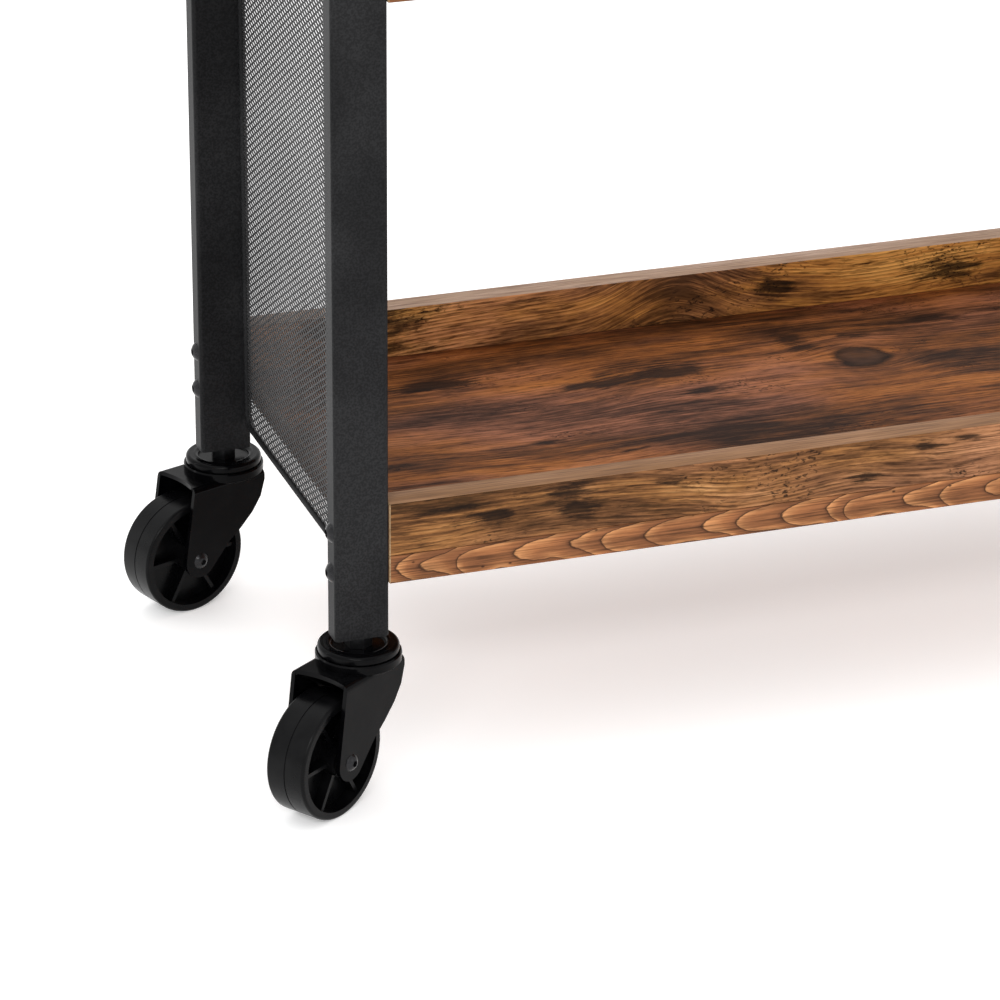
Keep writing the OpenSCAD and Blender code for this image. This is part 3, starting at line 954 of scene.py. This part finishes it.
@dataclass
class Studio:
    """The camera, a pale floor and soft light."""

    azimuth: float = 19.27
    elevation: float = 24.11
    roll: float = 0.51
    distance: float = 2.2902
    lens_mm: float = 155.8
    aim_in: float = 0.0915          # from the front-left leg's corner, along the shelf
    aim_up: float = 0.0703          # above the leg's lower end
    sensor_mm: float = 36.0
    clip: tuple[float, float] = (0.05, 50.0)
    look_at: tuple[float, float, float] = (0.0, 0.0, 0.4)      # where every lamp looks
    floor_size: float = 14.0
    floor_glow: float = 0.28
    daylight: float = 1.1

    def camera(self) -> None:
        """Sets the camera."""
        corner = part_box("leg_front_left")[0]
        aim = corner + Vector((self.aim_in, 0, self.aim_up))
        turn, lift, roll = (math.radians(a) for a in (self.azimuth, self.elevation, self.roll))
        ahead = Vector((math.sin(turn) * math.cos(lift), math.cos(turn) * math.cos(lift), -math.sin(lift)))
        right = Vector((math.cos(turn), -math.sin(turn), 0))
        up = right.cross(ahead)
        right, up = (right * math.cos(roll) + up * math.sin(roll),
                     up * math.cos(roll) - right * math.sin(roll))
        data = bpy.data.cameras.new("camera")
        data.lens = self.lens_mm
        data.sensor_width = self.sensor_mm
        data.clip_start, data.clip_end = self.clip
        camera = bpy.data.objects.new("camera", data)
        camera.matrix_world = Matrix.Translation(aim - ahead * self.distance) @ Matrix(
            (right, up, -ahead)).transposed().to_4x4()
        bpy.context.scene.collection.objects.link(camera)
        bpy.context.scene.camera = camera

    def light(self, name: str, place: tuple[float, float, float], size: tuple[float, float],
              watts: float) -> None:
        """A soft box that looks at the cart's middle.

        Args:
            name: Its name.
            place: Where it hangs.
            size: Its width and height.
            watts: Its power.
        """
        data = bpy.data.lights.new(name, "AREA")
        data.shape = "RECTANGLE"
        data.size, data.size_y = size
        data.energy = watts
        lamp = bpy.data.objects.new(name, data)
        lamp.location = place
        lamp.rotation_euler = (Vector(self.look_at) - Vector(place)).to_track_quat("-Z", "Y").to_euler()
        bpy.context.scene.collection.objects.link(lamp)

    def floor(self) -> None:
        """A wide floor of pale matt film, lit a little from below so that shadows stay faint."""
        bpy.ops.object.select_all(action="DESELECT")
        bpy.ops.mesh.primitive_plane_add(size=self.floor_size)
        floor = bpy.context.object
        floor.name = "floor"
        shade = Shader("pale_floor")
        cloud = shade.add("TexNoise", {"Vector": shade.place, "Scale": 2.0, "Detail": 2.0})
        tint = shade.add("Mix", {0: cloud, 6: "#f5f5f5", 7: "#f9f9f9"}, data_type="RGBA")
        floor.data.materials.append(shade.dress(Base_Color=tint, Roughness=0.95, Specular_IOR_Level=0.1,
                                                Emission_Color="#ffffff",
                                                Emission_Strength=self.floor_glow))

    def build(self) -> None:
        """Sets up the whole studio."""
        self.camera()
        self.floor()
        scene = bpy.context.scene
        scene.view_settings.view_transform = "Standard"
        world = bpy.data.worlds.new("studio")
        world.use_nodes = True
        background = world.node_tree.nodes["Background"]
        background.inputs[0].default_value = linear("#ffffff")
        background.inputs[1].default_value = self.daylight
        scene.world = world
        self.light("overhead", (-0.3, 0.2, 3.2), (3.6, 3.6), 18)
        self.light("key", (-1.5, -2.8, 2.3), (1.8, 0.06), 34)
        self.light("rim", (-2.4, 1.0, 1.3), (0.2, 1.6), 3)
        self.light("fill", (2.2, -2.6, 1.4), (1.6, 1.6), 8)


def main() -> None:
    """Builds the cart's looks in order, and reports how many boards it makes and how many faces each mesh
    half and eased copy has.
    """
    logging.basicConfig(level=logging.INFO, format="%(message)s")
    Studio().build()
    powder = PowderCoat().build()
    # the mesh gets a lighter grey copy of the legs' black coat: painted light, standing in for the light that
    # its thin strands catch
    mesh_coat_painted_lit = PowderCoat("black_powder_coat_on_mesh_painted_lit", "#29292a", "#343435", gleam=0.4, roughness=0.38).build()
    enamel = GlossBlack("gloss_black_enamel", "#030304", "#080809", gleam=0.07, roughness=0.17).build()
    nylon = GlossBlack("moulded_black_nylon", "#050506", "#0c0c0d", gleam=0.1, roughness=0.3).build()
    pedal = GlossBlack("moulded_black_pedal", "#0c0c0d", "#161617", gleam=0.2, roughness=0.45).build()
    zinc = BareMetal("zinc_plate", "#b4b2aa", "#cfcdc4", 1.0, 0.35).build()
    greased = BareMetal("greased_steel", "#232325", "#3a3a3c", 0.9, 0.35).build()
    oxide = BareMetal("black_oxide", "#151517", "#262628", 0.6, 0.28).build()
    beech = PlainBand("beech_dowel", 6.0, "#c8a478", "#d8b78c", "#a98258").build()
    dress_nodes({
        "leg_": powder, "handle_": powder, "mesh_": powder, "shelf_": beech, "rail_": beech,
        "rail_dowels": beech, "frame_bolts": oxide, "thread_inserts": zinc, "leg_plugs": greased,
        "stem_": greased, "race_cap_": enamel, "ball_ring_": greased, "fork_": enamel, "wheel_": nylon,
        "wheel_bush_": greased, "axle_": oxide, "brake_pedal_": pedal, "brake_pin_": greased})
    shelves = ShelfBoards()
    shelves.build()
    LOG.info("%d boards", len(shelves.made))
    for side in ("left", "right"):
        for half in MeshPanel(side, mesh_coat_painted_lit).build():
            LOG.info("%s: %d faces", half.name, len(half.data.polygons))
    for corner in CORNERS:
        for node, body, slot, finish in (
                (f"fork_{corner}", f"swivel_{corner}", "caster_enamel", enamel),
                (f"race_cap_{corner}", "frame", "caster_enamel", enamel),
                (f"wheel_{corner}", f"wheel_body_{corner}", "wheel_plastic", nylon)):
            piece = EasedCopy(node, body, slot, finish).build()
            LOG.info("%s: %d faces", piece.name, len(piece.data.polygons))


if __name__ == "__main__":
    main()
